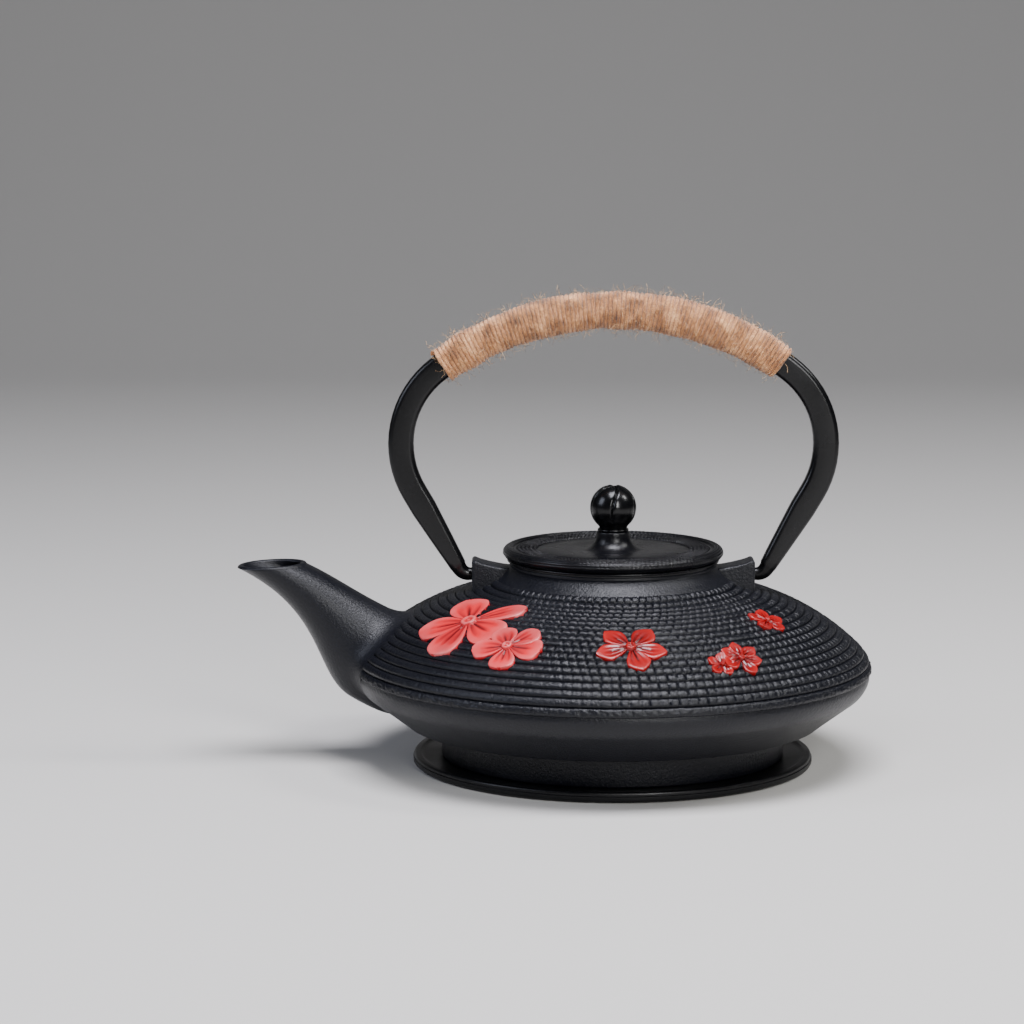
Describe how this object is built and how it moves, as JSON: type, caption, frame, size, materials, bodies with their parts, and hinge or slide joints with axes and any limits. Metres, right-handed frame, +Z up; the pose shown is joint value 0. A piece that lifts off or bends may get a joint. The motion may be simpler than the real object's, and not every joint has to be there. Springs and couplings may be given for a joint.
{
  "type": "teapot",
  "caption": "Low round cast iron teapot with a ridged shoulder, red relief flowers, curved spout, knobbed lid, twine wrapped bail handle, tea basket and trivet.",
  "frame": {"origin": "centre of the trivet's underside, on the pot's axis", "axes": "+Z up along the pot's axis, -X towards the spout, Y across the bail handle's plane"},
  "size_m": [0.2212, 0.18, 0.1653],
  "materials": {
    "trivet_iron": "matte black, fine sand cast grain",
    "pot_iron": "matte black, fine sand cast grain",
    "lid_iron": "satin black",
    "knob_iron": "gloss black",
    "handle_iron": "semi gloss black",
    "twine": "natural jute twine",
    "fastener_steel": "plain",
    "basket_steel": "brushed",
    "mesh_steel": "woven mesh",
    "coral_enamel": "satin coral red enamel",
    "red_enamel": "satin deep red enamel"
  },
  "bodies": {
    "trivet": {"trivet": "trivet_iron"},
    "pot": {"pot_body": "pot_iron", "flower_left_large": "coral_enamel", "flower_left_small": "coral_enamel", "flower_front": "red_enamel", "flower_right_large": "red_enamel", "flower_right_small": "red_enamel", "flower_right_upper": "red_enamel"},
    "basket": {"infuser_rim": "basket_steel", "infuser_mesh": "mesh_steel", "infuser_base": "basket_steel"},
    "lid": {"lid": "lid_iron", "lid_knob": "knob_iron", "knob_washer": "fastener_steel", "knob_nut": "fastener_steel"},
    "bail": {"handle_bar": "handle_iron", "grip_wrap": "twine"}
  },
  "joints": [
    {"name": "pot_lift", "type": "slide", "parent": "trivet", "child": "pot", "axis": [0, 0, 1], "range_m": [0, 0.06]},
    {"name": "basket_lift", "type": "slide", "parent": "pot", "child": "basket", "axis": [0, 0, 1], "range_m": [0, 0.05]},
    {"name": "lid_lift", "type": "slide", "parent": "basket", "child": "lid", "axis": [0, 0, 1], "range_m": [0, 0.05]},
    {"name": "bail_swing", "type": "hinge", "parent": "pot", "child": "bail", "pos_m": [0, 0, 0.06647], "axis": [1, 0, 0], "range_deg": [-100, 100]}
  ]
}
